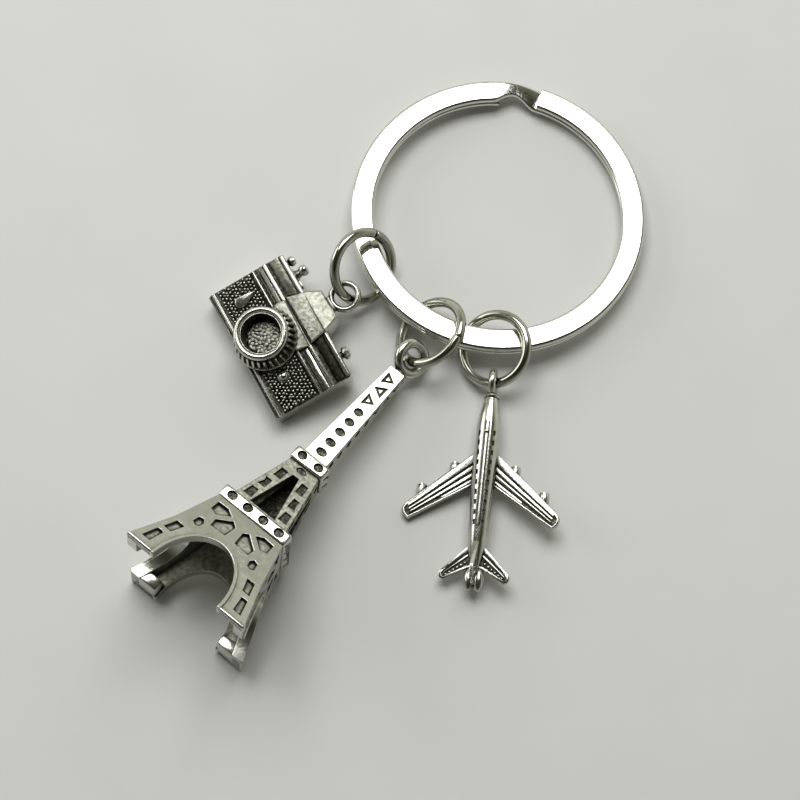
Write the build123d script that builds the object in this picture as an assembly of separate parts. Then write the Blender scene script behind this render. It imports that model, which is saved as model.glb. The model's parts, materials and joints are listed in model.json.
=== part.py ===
from build123d import *
import math
import os

# Souvenir keychain lying flat on a table: a flat split key ring, three round-wire jump rings,
# and three zinc charms (a small camera, a four-legged lattice tower and an airliner).
# Millimetres. +X right, +Y towards the key ring, +Z up from the table.

# ---- key ring: one flat wire wound for two turns ----
KEY_OUTER_R = 15.0
KEY_BORE_R = 12.65
TURN_THICKNESS = 0.72
TURN_GAP = 0.06
KEY_EDGE_ROUND = 0.28
STEP_START = 92.0  # degrees from +X, where the upper turn starts to dive under its own end
STEP_END = 72.0
UPPER_END = 71.0
LOWER_END = 88.5
STEP_SECTIONS = 8
STEP_LATENESS = 1.3  # above 1, the wire narrows before it dives
STEP_WAIST = 0.62  # width left at the middle of the step, as a share of the full width
KEY_CENTRE = (9.98, 19.14, 1.74)
KEY_LEAN = 3.6
KEY_LEAN_TOWARD = 50.0  # the far side from the charms touches the table

# ---- jump rings: round wire with a saw cut ----
JUMP_R = 3.5  # to the middle of the wire
WIRE_R = 0.5
CUT_WIDTH = 0.15

# ---- charm eyes ----
CAMERA_EYE_OUTER_R = 1.65
CAMERA_EYE_BORE_R = 1.15
CAMERA_EYE_THICKNESS = 0.7
TOWER_EYE_R = 1.55
TOWER_EYE_TUBE_R = 0.53
TOWER_EYE_TURN = -47.0  # of the eye's flat, from the side of the tower towards its front
PLANE_EYE_R = 1.12
PLANE_EYE_TUBE_R = 0.38

# ---- camera charm ----
BODY_WIDTH = 14.6
BODY_HEIGHT = 8.6
BODY_DEPTH = 2.4
BODY_CORNER = 0.35
GROOVE_DEPTH = 0.14
LEATHER_BAND = (0.12, 0.60)  # shares of the body height, from the bottom edge
GROOVE_BANDS = ((0.63, 0.68), (0.80, 0.83))
LENS_CENTRE = (-0.35, -1.36)
LENS_BASE_R = 3.05
LENS_RIM_R = 2.7
LENS_LENGTH = 2.77
LENS_BORE_R = 2.0
LENS_FLOOR_R = 1.6
LENS_BORE_DEPTH = 2.0
MOUNT_PLATE_RAISE = 0.3
HUMP_LEFT = -3.0
HUMP_RIGHT = 2.0
HUMP_TOP_INSET = 1.1
HUMP_RISE = 1.65
HUMP_OVERLAP = 1.4
HUMP_FRONT = 0.35
CAMERA_EYE_AT = (-0.45, 7.6)

# ---- lattice tower charm, heights along its axis from the feet ----
BASE_HALF = 7.0
KNEE_HEIGHT = 4.6
KNEE_HALF = 5.25
PLATFORM_1_HEIGHT = 9.15
PLATFORM_1_HALF = 4.05
PLATFORM_THICKNESS = 1.45
PLATFORM_2_HEIGHT = 17.25
PLATFORM_2_HALF = 2.0
UPPER_LEG_HALF = (3.15, 1.7)
SPIRE_HALF = (1.35, 0.88)
SPIRE_TOP = 31.5
TOWER_EYE_HEIGHT = 33.8
WALL = 1.15
ARCH_HALF_WIDTH = 3.8
ARCH_HEIGHT = 5.3
WINDOW_HALF_WIDTH = 1.5
WINDOW_SILL = 10.95
WINDOW_APEX = 16.3
NECK_R = 0.6
FOOT_LENGTH = 3.0
FOOT_HEIGHT = 1.2

# ---- airliner charm, distances along the fuselage from the middle of its eye, tail negative ----
FUSELAGE = ((-1.0, 0.5), (-2.5, 0.88), (-4.5, 1.2), (-15.1, 1.03), (-16.8, 0.9), (-18.7, 0.5), (-20.4, 0.42))
TAIL_POINT = -20.5
TAIL_LOBE_R = 0.52
TAIL_LOBE_AT = (0.44, -20.55, -0.05)
WING = ((0.0, -6.2), (7.5, -12.8), (7.8, -13.3), (7.1, -14.4), (0.9, -10.4), (0.0, -10.4))
WING_THICKNESS = 0.75
WING_DROP = 0.35
TAILPLANE = ((0.0, -15.9), (3.35, -19.2), (3.5, -19.6), (2.95, -20.2), (0.9, -18.9), (0.0, -18.6))
TAILPLANE_THICKNESS = 0.6
FIN = ((-15.6, 0.4), (-18.9, 2.9), (-20.3, 2.9), (-19.0, 0.2))
FIN_THICKNESS = 0.6
ENGINE_R = 0.42
ENGINE_LENGTH = 2.6
ENGINE_DROP = 0.55
ENGINE_FRONTS = ((3.0, -8.0), (6.05, -10.4))

# ---- how the pieces lie: middle, lean of the flat and the direction that it leans to ----
JUMP_RINGS = {
    "camera_jump_ring": dict(centre=(-3.7, 12.92, 3.37), lean=47.85, toward=-36.6, cut=88.0),
    "tower_jump_ring": dict(centre=(3.05, 6.27, 2.53), lean=35.0, toward=154.9, cut=-24.0),
    "plane_jump_ring": dict(centre=(9.43, 4.65, 2.16), lean=28.05, toward=-168.6, cut=160.0),
}
CHARM_POSES = {
    "camera_charm": dict(eye=(-5.51, 9.91, 3.0), heading=28.95, pitch=8.7, roll=0.0),
    "tower_charm": dict(eye=(1.18, 3.7, 2.06), heading=50.4, pitch=-8.75, roll=-0.5),
    "plane_charm": dict(eye=(9.26, 1.23, 1.76), heading=83.75, pitch=0.5, roll=-7.5),
}


def leaning_frame(centre, lean, toward, face=0.0):
    """A place whose Z leans from the vertical, and whose X looks to the compass angle face."""
    reach, angle, look = math.sin(math.radians(lean)), math.radians(toward), math.radians(face)
    up = Vector(reach * math.cos(angle), reach * math.sin(angle), math.cos(math.radians(lean)))
    ahead = Vector(math.cos(look), math.sin(look), 0)
    ahead = ahead - up * ahead.dot(up)
    return Plane(origin=centre, x_dir=ahead, z_dir=up).location


def charm_frame(eye, heading, pitch, roll):
    """A place whose Y runs from the charm to its eye, and whose Z is the charm's upper face."""
    return Pos(*eye) * Rot(0, 0, heading - 90) * Rot(pitch, 0, 0) * Rot(0, roll, 0)


def swept_arc(profile, start, sweep):
    """Turn a profile drawn in XZ about Z, anticlockwise from the start angle."""
    return Rot(0, 0, start) * revolve(Plane.XZ * profile, Axis.Z, sweep)


def eased(share):
    """Smooth step from 0 to 1."""
    return share * share * (3 - 2 * share)


def key_ring():
    """Two flat turns, one over the other, joined by a step that dives under the upper turn's end."""
    width = KEY_OUTER_R - KEY_BORE_R
    level = (TURN_THICKNESS + TURN_GAP) / 2
    middle = (KEY_OUTER_R + KEY_BORE_R) / 2

    def section(z, share=1.0):
        flat = RectangleRounded(width * share, TURN_THICKNESS, KEY_EDGE_ROUND)
        return Pos(middle + width * (1 - share) / 2, z) * flat

    upper = swept_arc(section(level), STEP_START, 360 - STEP_START + UPPER_END)
    lower = swept_arc(section(-level), LOWER_END, 360 - LOWER_END + STEP_END)
    slices = []
    for i in range(STEP_SECTIONS + 1):
        share = i / STEP_SECTIONS
        narrowing = (1 - STEP_WAIST) * math.sin(math.pi * share) ** 2
        z = level - 2 * level * eased(share ** STEP_LATENESS)
        turn = Rot(0, 0, STEP_START + (STEP_END - STEP_START) * share)
        slices.append(turn * (Plane.XZ * section(z, 1 - narrowing)))
    return upper + loft(slices) + lower


def jump_ring():
    """A round wire bent to a circle, its saw cut facing +X."""
    half_cut = math.degrees(CUT_WIDTH / JUMP_R) / 2
    return swept_arc(Pos(JUMP_R, 0) * Circle(WIRE_R), half_cut, 360 - 2 * half_cut)


def band(shares):
    """A shallow cutter across the camera's front face between two shares of the body height."""
    low, high = (BODY_HEIGHT * (share - 0.5) for share in shares)
    cutter = Box(2 * BODY_WIDTH, high - low, 2 * GROOVE_DEPTH)
    return Pos(0, (low + high) / 2, BODY_DEPTH / 2) * cutter


def top_knob(x, stem_r, head_r, height):
    """A small turned knob standing on the camera's top edge."""
    stem = Cylinder(stem_r, height, align=(Align.CENTER, Align.CENTER, Align.MIN))
    head = Pos(0, 0, height - head_r) * Sphere(head_r)
    return Pos(x, BODY_HEIGHT / 2 - head_r / 2, 0) * Rot(-90, 0, 0) * (stem + head)


def camera_body():
    """The flat body with its leather panel, grooves and prism hump."""
    body = extrude(RectangleRounded(BODY_WIDTH, BODY_HEIGHT, BODY_CORNER), BODY_DEPTH / 2, both=True)
    for shares in (LEATHER_BAND,) + GROOVE_BANDS:
        body -= band(shares)
    edge, top = BODY_HEIGHT / 2, BODY_HEIGHT / 2 + HUMP_RISE
    outline = Polyline(
        (HUMP_LEFT, edge - HUMP_OVERLAP), (HUMP_RIGHT, edge - HUMP_OVERLAP), (HUMP_RIGHT, edge),
        (HUMP_RIGHT - HUMP_TOP_INSET, top), (HUMP_LEFT + HUMP_TOP_INSET, top), (HUMP_LEFT, edge),
        close=True)
    hump = Pos(0, 0, -BODY_DEPTH / 2) * extrude(make_face(outline), BODY_DEPTH + HUMP_FRONT)
    hump = chamfer(hump.faces().sort_by(Axis.Z)[-1].edges(), HUMP_FRONT)
    return body + hump


def camera_charm():
    """Camera casting: body, stepped lens, knobs and the eye above the hump."""
    front = BODY_DEPTH / 2
    seat = front - GROOVE_DEPTH
    barrel = Pos(*LENS_CENTRE, seat) * extrude(Circle(LENS_BASE_R), MOUNT_PLATE_RAISE + GROOVE_DEPTH)
    cone_length = LENS_LENGTH - MOUNT_PLATE_RAISE
    barrel += Pos(*LENS_CENTRE, front + MOUNT_PLATE_RAISE + cone_length / 2) * Cone(
        LENS_BASE_R, LENS_RIM_R, cone_length)
    bore = Pos(*LENS_CENTRE, front + LENS_LENGTH - LENS_BORE_DEPTH / 2) * Cone(
        LENS_FLOOR_R, LENS_BORE_R, LENS_BORE_DEPTH)
    lever = Pos(-5.2, -1.1, seat) * extrude(SlotOverall(1.9, 0.9, rotation=100), 0.4)
    button = Pos(3.4, -1.6, seat) * Cylinder(0.5, 0.7)
    knobs = top_knob(-6.4, 0.3, 0.35, 0.6) + top_knob(-5.0, 0.4, 0.45, 1.5)
    knobs += top_knob(4.6, 0.3, 0.45, 1.2)
    eye_x, eye_y = CAMERA_EYE_AT
    washer = Circle(CAMERA_EYE_OUTER_R) - Circle(CAMERA_EYE_BORE_R)
    eye = Pos(eye_x, eye_y) * extrude(washer, CAMERA_EYE_THICKNESS / 2, both=True)
    hump_top = BODY_HEIGHT / 2 + HUMP_RISE
    neck_length = eye_y - CAMERA_EYE_BORE_R - hump_top
    neck = Pos(eye_x, hump_top + neck_length / 4) * Box(
        CAMERA_EYE_OUTER_R, neck_length, CAMERA_EYE_THICKNESS)
    casting = camera_body() + barrel + lever + button + knobs + eye + neck - bore
    return Pos(-eye_x, -eye_y) * casting


def tapered(levels):
    """A square tower of straight stages through (height, half width) levels."""
    return loft([Pos(0, 0, z) * Rectangle(2 * half, 2 * half) for z, half in levels], ruled=True)


def platform(height, half):
    """A square deck."""
    return Pos(0, 0, height + PLATFORM_THICKNESS / 2) * Box(2 * half, 2 * half, PLATFORM_THICKNESS)


def both_ways(outline):
    """A cutter with one outline in XZ, driven through the front and through the side."""
    cutter = extrude(Plane.XZ * outline, 2 * BASE_HALF, both=True)
    return cutter + Rot(0, 0, 90) * cutter


def tower_charm():
    """Hollow four-legged lattice tower, built upright with its front to -Y, then laid on its back."""
    deck_1 = PLATFORM_1_HEIGHT + PLATFORM_THICKNESS
    deck_2 = PLATFORM_2_HEIGHT + PLATFORM_THICKNESS
    shin = PLATFORM_1_HALF - PLATFORM_THICKNESS / 8
    legs = tapered(((0, BASE_HALF), (KNEE_HEIGHT, KNEE_HALF), (PLATFORM_1_HEIGHT, shin)))
    upper_legs = tapered(((deck_1, UPPER_LEG_HALF[0]), (PLATFORM_2_HEIGHT, UPPER_LEG_HALF[1])))
    spire = tapered(((deck_2, SPIRE_HALF[0]), (SPIRE_TOP, SPIRE_HALF[1])))
    solid = legs + platform(PLATFORM_1_HEIGHT, PLATFORM_1_HALF) + upper_legs
    solid += platform(PLATFORM_2_HEIGHT, PLATFORM_2_HALF) + spire
    slope = (BASE_HALF - KNEE_HALF) / KNEE_HEIGHT
    hollow = tapered((
        (-WALL, BASE_HALF + slope * WALL - WALL), (KNEE_HEIGHT, KNEE_HALF - WALL),
        (PLATFORM_1_HEIGHT, shin - WALL), (deck_1, UPPER_LEG_HALF[0] - WALL),
        (PLATFORM_2_HEIGHT, UPPER_LEG_HALF[1] - WALL)))
    for across, along in ((-1, -1), (-1, 1), (1, -1), (1, 1)):
        hollow -= Pos(across * BASE_HALF, along * BASE_HALF, 0) * Box(
            2 * FOOT_LENGTH, 2 * FOOT_LENGTH, 2 * FOOT_HEIGHT)
    arch = Ellipse(ARCH_HALF_WIDTH, ARCH_HEIGHT)
    window = make_face(Polyline(
        (-WINDOW_HALF_WIDTH, WINDOW_SILL), (WINDOW_HALF_WIDTH, WINDOW_SILL), (0, WINDOW_APEX),
        close=True))
    solid = solid - hollow - both_ways(arch) - both_ways(window)
    eye_mid = Pos(0, 0, TOWER_EYE_HEIGHT)
    eye = eye_mid * Rot(0, 0, TOWER_EYE_TURN) * Rot(0, 90, 0) * Torus(TOWER_EYE_R, TOWER_EYE_TUBE_R)
    neck_length = TOWER_EYE_HEIGHT - TOWER_EYE_R - SPIRE_TOP
    neck = Pos(0, 0, SPIRE_TOP + neck_length / 2) * Cylinder(NECK_R, 2 * neck_length)
    return Rot(-90, 0, 0) * Pos(0, 0, -TOWER_EYE_HEIGHT) * (solid + neck + eye)


def mirrored(piece):
    """A piece and its twin on the other side of the fuselage."""
    return piece + mirror(piece, Plane.YZ)


def slab(points, thickness, z):
    """A flat surface of even thickness from an outline in XY."""
    face = make_face(Polyline(*points, close=True))
    return Pos(0, 0, z) * extrude(face, thickness / 2, both=True)


def plane_charm():
    """Airliner casting: turned fuselage, swept wings, engines, tail and the eye at its nose."""
    outline = [(radius, y) for y, radius in FUSELAGE]
    profile = make_face(Polyline((0, FUSELAGE[0][0]), *outline, (0, TAIL_POINT), close=True))
    fuselage = revolve(profile, Axis.Y, 360)
    wings = mirrored(slab(WING, WING_THICKNESS, -WING_DROP))
    tail = mirrored(slab(TAILPLANE, TAILPLANE_THICKNESS, 0))
    fin = extrude(Plane.YZ * make_face(Polyline(*FIN, close=True)), FIN_THICKNESS / 2, both=True)
    engines = Part()
    for x, y in ENGINE_FRONTS:
        nacelle = Rot(90, 0, 0) * Cylinder(ENGINE_R, ENGINE_LENGTH)
        engines += mirrored(Pos(x, y - ENGINE_LENGTH / 2, -ENGINE_DROP) * nacelle)
    lobes = mirrored(Pos(*TAIL_LOBE_AT) * Sphere(TAIL_LOBE_R))
    eye = Rot(0, 90, 0) * Torus(PLANE_EYE_R, PLANE_EYE_TUBE_R)
    return fuselage + wings + tail + fin + engines + lobes + eye


def table_frame(pieces):
    """The shift that puts the middle of the whole keychain over the origin, on the table."""
    boxes = [piece.bounding_box() for piece in pieces.values()]
    middle_x = (min(box.min.X for box in boxes) + max(box.max.X for box in boxes)) / 2
    middle_y = (min(box.min.Y for box in boxes) + max(box.max.Y for box in boxes)) / 2
    return Pos(-middle_x, -middle_y, -min(box.min.Z for box in boxes))


def build():
    """Every piece in its place, by name."""
    key_place = leaning_frame(KEY_CENTRE, KEY_LEAN, KEY_LEAN_TOWARD)
    pieces = {"key_ring": key_place * key_ring()}
    wire = jump_ring()
    for name, lie in JUMP_RINGS.items():
        pieces[name] = leaning_frame(lie["centre"], lie["lean"], lie["toward"], lie["cut"]) * wire
    charms = dict(camera_charm=camera_charm(), tower_charm=tower_charm(), plane_charm=plane_charm())
    for name, charm in charms.items():
        pieces[name] = charm_frame(**CHARM_POSES[name]) * charm
    shift = table_frame(pieces)
    return {name: shift * piece for name, piece in pieces.items()}, shift


if __name__ == "__main__":
    os.makedirs("parts", exist_ok=True)
    placed, shift = build()
    for name, piece in placed.items():
        export_step(piece, f"parts/{name}.step")
    print("shift", shift.position)
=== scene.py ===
import json
import math
import random

import bmesh
import bpy
from mathutils import Matrix, Vector


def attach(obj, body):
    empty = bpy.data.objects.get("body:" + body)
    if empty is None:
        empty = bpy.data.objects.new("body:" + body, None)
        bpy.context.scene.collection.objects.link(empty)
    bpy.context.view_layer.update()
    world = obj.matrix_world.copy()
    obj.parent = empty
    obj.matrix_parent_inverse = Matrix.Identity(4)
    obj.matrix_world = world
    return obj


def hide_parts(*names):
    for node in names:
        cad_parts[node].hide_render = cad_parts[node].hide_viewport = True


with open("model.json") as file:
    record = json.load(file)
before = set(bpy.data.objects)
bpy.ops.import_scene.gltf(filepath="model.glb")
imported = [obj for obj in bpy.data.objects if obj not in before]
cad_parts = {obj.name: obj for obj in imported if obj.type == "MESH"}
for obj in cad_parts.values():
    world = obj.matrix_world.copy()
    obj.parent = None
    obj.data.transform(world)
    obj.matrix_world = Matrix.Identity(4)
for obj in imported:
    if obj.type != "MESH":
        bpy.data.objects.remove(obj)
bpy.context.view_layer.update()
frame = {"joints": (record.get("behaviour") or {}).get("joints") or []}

# A souvenir keychain lying flat: split key ring, three jump rings, and camera, tower and airliner
# charms. Each piece is shaped in its own millimetre frame, then laid in its place on the table.
MM = 0.001
WELD = 1e-4  # points nearer than this, in millimetres, are one point
GRAIN = random.Random(7)

SILVER, BLACKED, DULL = 0, 1, 2  # a charm's finishes: rubbed bright, blackened and half rubbed

# ---- how the pieces lie: middle, lean of the flat and the direction that it leans to ----
KEY_CENTRE = (9.98, 19.14, 1.74)
KEY_LEAN, KEY_TOWARD = 3.6, 50.0
JUMP_RINGS = {
    "camera_jump_ring": dict(centre=(-3.7, 12.92, 3.37), lean=47.85, toward=-36.6, face=88.0),
    "tower_jump_ring": dict(centre=(3.05, 6.27, 2.53), lean=35.0, toward=154.9, face=-24.0),
    "plane_jump_ring": dict(centre=(9.43, 4.65, 2.16), lean=28.05, toward=-168.6, face=160.0),
}
END_SPREAD = {"camera_jump_ring": 0.12, "tower_jump_ring": 0.2, "plane_jump_ring": 0.05}
CHARM_POSES = {
    "camera_charm": dict(eye=(-5.51, 9.91, 3.0), heading=28.95, pitch=8.7, roll=0.0),
    "tower_charm": dict(eye=(1.18, 3.7, 2.06), heading=50.4, pitch=-8.75, roll=-0.5),
    "plane_charm": dict(eye=(9.26, 1.23, 1.76), heading=83.75, pitch=0.5, roll=-7.5),
}

KEY_JOINT = next(j for j in frame["joints"] if j["name"] == "camera_ring_travel")["pos_m"]
SHIFT = Vector(KEY_JOINT) - Vector(KEY_CENTRE) * MM
BENCH = Matrix.Translation(SHIFT) @ Matrix.Scale(MM, 4)


def leaning(centre, lean, toward, face=0.0):
    """A place whose Z leans from the vertical, and whose X looks to the compass angle face."""
    reach, angle, look = math.sin(math.radians(lean)), math.radians(toward), math.radians(face)
    up = Vector((reach * math.cos(angle), reach * math.sin(angle), math.cos(math.radians(lean))))
    ahead = Vector((math.cos(look), math.sin(look), 0))
    ahead = (ahead - up * ahead.dot(up)).normalized()
    turn = Matrix((ahead, up.cross(ahead), up)).transposed().to_4x4()
    return BENCH @ Matrix.Translation(centre) @ turn


def hanging(eye, heading, pitch, roll):
    """A charm's place: Y runs to its eye and Z is its upper face."""
    turn = Matrix.Rotation(math.radians(heading - 90), 4, "Z")
    turn = turn @ Matrix.Rotation(math.radians(pitch), 4, "X")
    return BENCH @ Matrix.Translation(eye) @ turn @ Matrix.Rotation(math.radians(roll), 4, "Y")


# ---------------------------------------------------------------- finishes

def linear(colour):
    """An sRGB hex colour as linear RGBA."""
    parts = [int(colour[i:i + 2], 16) / 255 for i in (1, 3, 5)]
    return [c / 12.92 if c <= 0.04045 else ((c + 0.055) / 1.055) ** 2.4 for c in parts] + [1.0]


def plug(tree, node, inputs):
    """Set or link a node's inputs. Another node stands for its first output."""
    for name, value in inputs.items():
        if isinstance(value, bpy.types.Node):
            value = value.outputs[0]
        if isinstance(value, bpy.types.NodeSocket):
            tree.links.new(value, node.inputs[name])
        else:
            node.inputs[name].default_value = value


def add(tree, kind, properties=None, inputs=None, stops=()):
    """Add a node with its properties, its inputs and its (position, hex colour) stops."""
    made = tree.nodes.new(kind)
    for name, value in (properties or {}).items():
        setattr(made, name, value)
    plug(tree, made, inputs or {})
    if stops:
        points = made.color_ramp.elements
        for point, (position, colour) in zip(points, (stops[0], stops[-1])):
            point.position, point.color = position, linear(colour)
        for position, colour in stops[1:-1]:
            points.new(position).color = linear(colour)
    return made


def per_metre(size_mm):
    """The texture scale whose pattern repeats about every size_mm."""
    return 1 / (size_mm * MM)


def finish(name):
    """A new material with its shader, its tree and the piece's own coordinates."""
    material = bpy.data.materials.new(name)
    material.use_nodes = True
    tree = material.node_tree
    shader = tree.nodes["Principled BSDF"]
    place = add(tree, "ShaderNodeTexCoord").outputs["Object"]
    return material, tree, shader, place


def nickel_plate(name, dark, light, smooth, worn):
    """Nickel plated over steel wire and tumbled: a near mirror with hairline handling scratches
    that only show as a slight unevenness of the gloss."""
    material, tree, shader, place = finish(name)
    drawn = add(tree, "ShaderNodeMapping", inputs={"Vector": place, "Scale": (1, 1, 5)})
    hairline = add(tree, "ShaderNodeTexNoise", inputs={
        "Vector": drawn, "Scale": per_metre(0.35), "Detail": 4.0})
    haze = add(tree, "ShaderNodeTexNoise", inputs={
        "Vector": place, "Scale": per_metre(2.5), "Detail": 2.0})
    shade = add(tree, "ShaderNodeValToRGB", None, {"Fac": haze}, [(0.3, dark), (0.7, light)])
    gloss = add(tree, "ShaderNodeMapRange", {"clamp": True}, {
        "Value": hairline, "From Min": 0.3, "From Max": 0.75, "To Min": smooth, "To Max": worn})
    ripple = add(tree, "ShaderNodeBump", inputs={
        "Strength": 0.04, "Distance": 0.01 * MM, "Height": hairline})
    plug(tree, shader, {"Base Color": shade, "Roughness": gloss, "Normal": ripple, "Metallic": 1.0})
    return material


def rubbed_silver():
    """Cast zinc, silver plated, blackened and then rubbed back: raised metal is bright and softly
    uneven from the sand-like casting grain, and corners and crevices keep the black."""
    material, tree, shader, place = finish("antique_silver_cast_rubbed")
    grain = add(tree, "ShaderNodeTexNoise", inputs={
        "Vector": place, "Scale": per_metre(0.26), "Detail": 5.0, "Roughness": 0.6})
    wear = add(tree, "ShaderNodeTexNoise", inputs={
        "Vector": place, "Scale": per_metre(0.9), "Detail": 4.0, "Roughness": 0.65})
    crevice = add(tree, "ShaderNodeAmbientOcclusion", {"samples": 8}, {"Distance": 0.55 * MM})
    kept = add(tree, "ShaderNodeMath", {"operation": "MULTIPLY_ADD"}, {
        0: wear, 1: 0.35, 2: crevice.outputs["AO"]})
    rubbed = add(tree, "ShaderNodeMapRange", {"clamp": True}, {
        "Value": kept, "From Min": 0.5, "From Max": 1.35, "To Min": 0, "To Max": 1})
    shade = add(tree, "ShaderNodeValToRGB", None, {"Fac": rubbed}, [
        (0.04, "#14140F"), (0.3, "#47473E"), (0.56, "#9D9D92"), (0.72, "#BFBFB6"),
        (0.88, "#CFCFC8")])
    gloss = add(tree, "ShaderNodeMapRange", {"clamp": True}, {
        "Value": rubbed, "From Min": 0.0, "From Max": 0.8, "To Min": 0.5, "To Max": 0.17})
    pitted = add(tree, "ShaderNodeBump", inputs={
        "Strength": 0.4, "Distance": 0.035 * MM, "Height": grain})
    plug(tree, shader, {"Base Color": shade, "Roughness": gloss, "Normal": pitted, "Metallic": 1.0})
    return material


def blackened_silver():
    """The same casting where the sulphide blackening was never rubbed off: charcoal, low gloss,
    with a few dull metallic flecks where the cloth just reached."""
    material, tree, shader, place = finish("antique_silver_cast_blackened")
    fleck = add(tree, "ShaderNodeTexNoise", inputs={
        "Vector": place, "Scale": per_metre(0.3), "Detail": 5.0, "Roughness": 0.7})
    shade = add(tree, "ShaderNodeValToRGB", None, {"Fac": fleck}, [
        (0.38, "#22221B"), (0.56, "#4B4B42"), (0.74, "#939387")])
    gloss = add(tree, "ShaderNodeMapRange", {"clamp": True}, {
        "Value": fleck, "From Min": 0.3, "From Max": 0.8, "To Min": 0.62, "To Max": 0.36})
    pitted = add(tree, "ShaderNodeBump", inputs={
        "Strength": 0.5, "Distance": 0.04 * MM, "Height": fleck})
    plug(tree, shader, {"Base Color": shade, "Roughness": gloss, "Normal": pitted, "Metallic": 0.9})
    return material


def half_rubbed_silver():
    """The casting where the cloth took off only part of the blackening, as on wide sunk panels, the
    camera's hump and top plate and the tower's middle: a dull mottled pewter grey, with dark left
    along the walls."""
    material, tree, shader, place = finish("antique_silver_cast_half_rubbed")
    mottle = add(tree, "ShaderNodeTexNoise", inputs={
        "Vector": place, "Scale": per_metre(0.4), "Detail": 5.0, "Roughness": 0.65})
    corner = add(tree, "ShaderNodeAmbientOcclusion", {"samples": 8}, {"Distance": 0.3 * MM})
    kept = add(tree, "ShaderNodeMath", {"operation": "MULTIPLY_ADD"}, {
        0: mottle, 1: 0.5, 2: corner.outputs["AO"]})
    rubbed = add(tree, "ShaderNodeMapRange", {"clamp": True}, {
        "Value": kept, "From Min": 0.6, "From Max": 1.45, "To Min": 0, "To Max": 1})
    shade = add(tree, "ShaderNodeValToRGB", None, {"Fac": rubbed}, [
        (0.1, "#12120D"), (0.44, "#33332B"), (0.64, "#626258"), (0.76, "#8D8D82"),
        (0.9, "#B4B4AA")])
    pitted = add(tree, "ShaderNodeBump", inputs={
        "Strength": 0.7, "Distance": 0.07 * MM, "Height": mottle})
    plug(tree, shader, {"Base Color": shade, "Roughness": 0.42, "Normal": pitted, "Metallic": 1.0})
    return material


def painted_board():
    """Matt off-white lacquer rolled on a board: flat to the eye, with a faint roller mottle."""
    material, tree, shader, place = finish("matt_lacquer_rolled_board")
    mottle = add(tree, "ShaderNodeTexNoise", inputs={
        "Vector": place, "Scale": per_metre(14), "Detail": 3.0})
    peel = add(tree, "ShaderNodeTexNoise", inputs={
        "Vector": place, "Scale": per_metre(0.8), "Detail": 2.0})
    shade = add(tree, "ShaderNodeValToRGB", None, {"Fac": mottle}, [
        (0.3, "#D1D1CE"), (0.7, "#D4D4D1")])
    bump = add(tree, "ShaderNodeBump", inputs={
        "Strength": 0.05, "Distance": 0.02 * MM, "Height": peel})
    plug(tree, shader, {"Base Color": shade, "Roughness": 0.6, "Normal": bump, "IOR": 1.5})
    return material


# the jump rings' small round wire gets a darker, slightly rougher copy of the key ring's nickel
# plate; its darker colour is painted shade, standing in for the dark room that the rounded wire
# mirrors
NICKEL = [nickel_plate("bright_nickel_plate_on_rolled_steel", "#D5D4CE", "#DDDCD7", 0.07, 0.17)]
SHADED_NICKEL = [nickel_plate("nickel_plate_darkened_for_shade", "#A0A094", "#BBBBB0", 0.1, 0.2)]
CHARM = [rubbed_silver(), blackened_silver(), half_rubbed_silver()]


# ---------------------------------------------------------------- bench tools

def faces_of(verts):
    return list({face for vert in verts for face in vert.link_faces})


def paint(verts, finish_index):
    for face in faces_of(verts):
        face.material_index = finish_index


def face_out(bm):
    bmesh.ops.recalc_face_normals(bm, faces=bm.faces)


def soften(bm, edges, width, segments=2):
    bmesh.ops.bevel(bm, geom=list(edges), offset=width, offset_type="OFFSET", segments=segments,
                    profile=0.5, affect="EDGES", clamp_overlap=True, material=-1)


def block(bm, low, high, round_off=0.0, finish_index=SILVER, segments=2):
    """A block between two corners, its edges rounded off."""
    low, high = Vector(low), Vector(high)
    size = high - low
    place = Matrix.Translation((low + high) / 2) @ Matrix.Diagonal((*size, 1))
    part = bmesh.new()
    bmesh.ops.create_cube(part, size=1, matrix=place)
    if round_off:
        soften(part, part.edges, round_off, segments)
    return join(bm, part, finish_index)


def join(bm, part, finish_index=None, place=None):
    """Put a finished part into the casting, and hand back its vertices."""
    if place is not None:
        part.transform(place)
    if finish_index is not None:
        for face in part.faces:
            face.material_index = finish_index
    mesh = bpy.data.meshes.new("part")
    part.to_mesh(mesh)
    part.free()
    before = len(bm.verts)
    bm.from_mesh(mesh)
    bpy.data.meshes.remove(mesh)
    bm.verts.ensure_lookup_table()
    return bm.verts[before:]


def revolve(part, geom, steps):
    """Turn a section once round Z and close it."""
    bmesh.ops.spin(part, geom=geom, cent=(0, 0, 0), axis=(0, 0, 1), dvec=(0, 0, 0), angle=math.tau,
                   steps=steps, use_merge=True, use_duplicate=False)
    bmesh.ops.remove_doubles(part, verts=part.verts, dist=WELD)
    face_out(part)


def turned(profile, steps, place=None):
    """A part turned on the lathe about Z from a (radius, height) profile that starts and ends
    on the axis, or is closed when its first and last points are the same."""
    part = bmesh.new()
    verts = [part.verts.new((radius, 0, height)) for radius, height in profile]
    edges = [part.edges.new(pair) for pair in zip(verts, verts[1:])]
    revolve(part, verts + edges, steps)
    if place is not None:
        part.transform(place)
    return part


def verts_in(geom):
    return [item for item in geom if isinstance(item, bmesh.types.BMVert)]


def pull(part, faces, by):
    """Pull faces out by a vector, with walls behind them."""
    risen = bmesh.ops.extrude_face_region(part, geom=faces)["geom"]
    bmesh.ops.translate(part, vec=by, verts=verts_in(risen))
    return risen


def prism(points, low, high, round_off=0.0):
    """A part cut from plate: an outline in XY between two heights."""
    part = bmesh.new()
    face = part.faces.new([part.verts.new((x, y, low)) for x, y in points])
    pull(part, [face], (0, 0, high - low))
    face_out(part)
    if round_off:
        soften(part, part.edges, round_off)
    return part


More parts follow.
